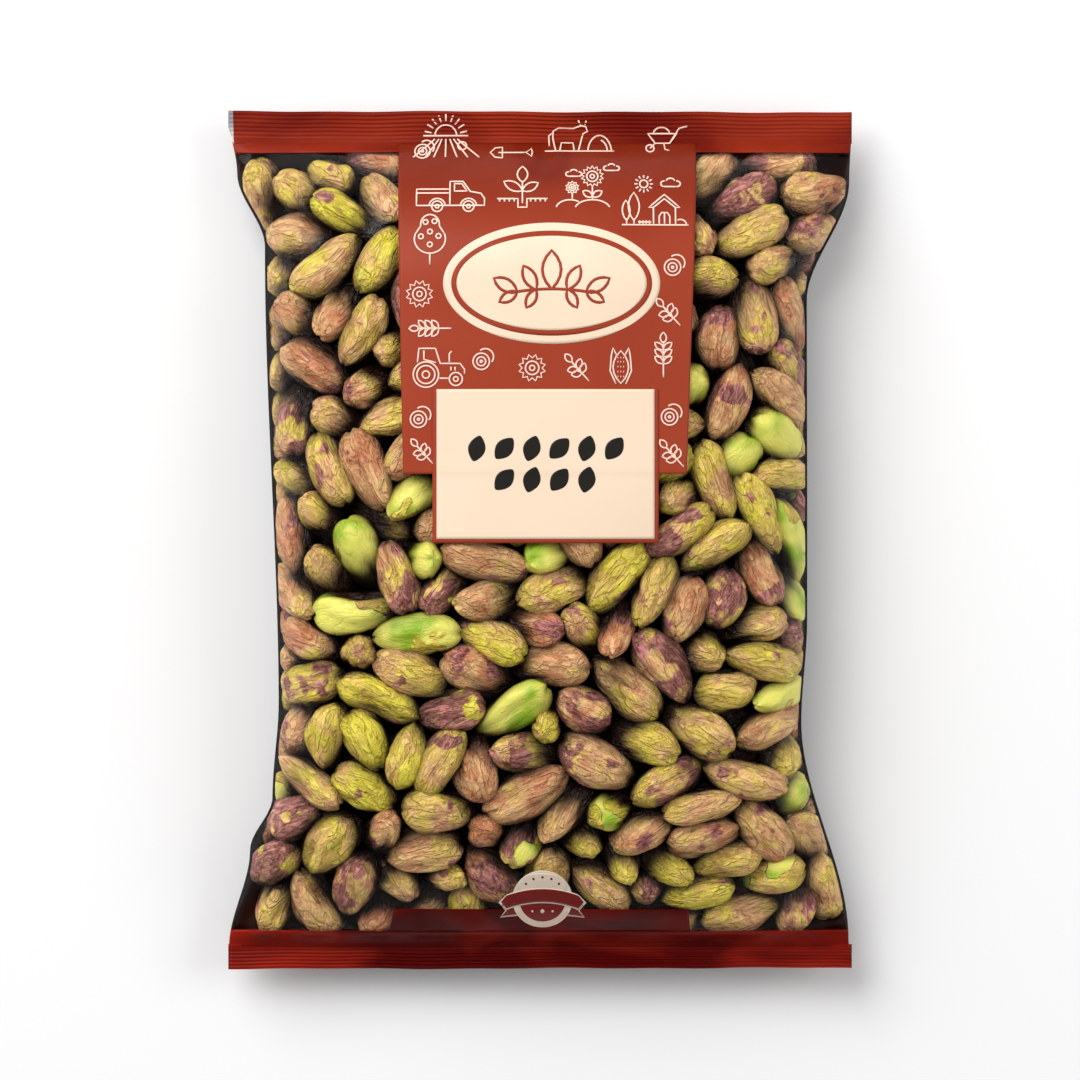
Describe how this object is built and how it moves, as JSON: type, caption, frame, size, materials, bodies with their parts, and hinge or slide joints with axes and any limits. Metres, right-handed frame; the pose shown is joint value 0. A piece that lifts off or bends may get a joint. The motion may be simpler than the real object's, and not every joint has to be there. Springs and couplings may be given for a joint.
{
  "type": "sealed pillow bag of shelled pistachio kernels",
  "caption": "Clear pillow bag with crimped ends and a back fin seal, filled with loose shelled pistachio kernels, with a plain label and a round sticker.",
  "frame": {"origin": "on the surface that the bag lies on, under the middle of the bag", "axes": "+Y along the bag towards its top seal, +X towards the right side seen from the front, +Z out of the front"},
  "size_m": [0.155, 0.213, 0.0405],
  "materials": {
    "clear_film": "clear glossy film",
    "printed_film": "glossy film printed red-brown",
    "label_paper": "satin cream label",
    "sticker_paper": "satin pale sticker",
    "kernel_skin": "wrinkled kernel skin, tan, yellow-green and purple"
  },
  "bodies": {
    "root": {"film_web": "clear_film", "back_fin_seal": "clear_film", "top_crimp_seal": "printed_film", "bottom_crimp_seal": "printed_film", "product_label": "label_paper", "quality_sticker": "sticker_paper", "kernels_front": "kernel_skin", "kernels_middle": "kernel_skin", "kernels_back": "kernel_skin"}
  },
  "joints": []
}
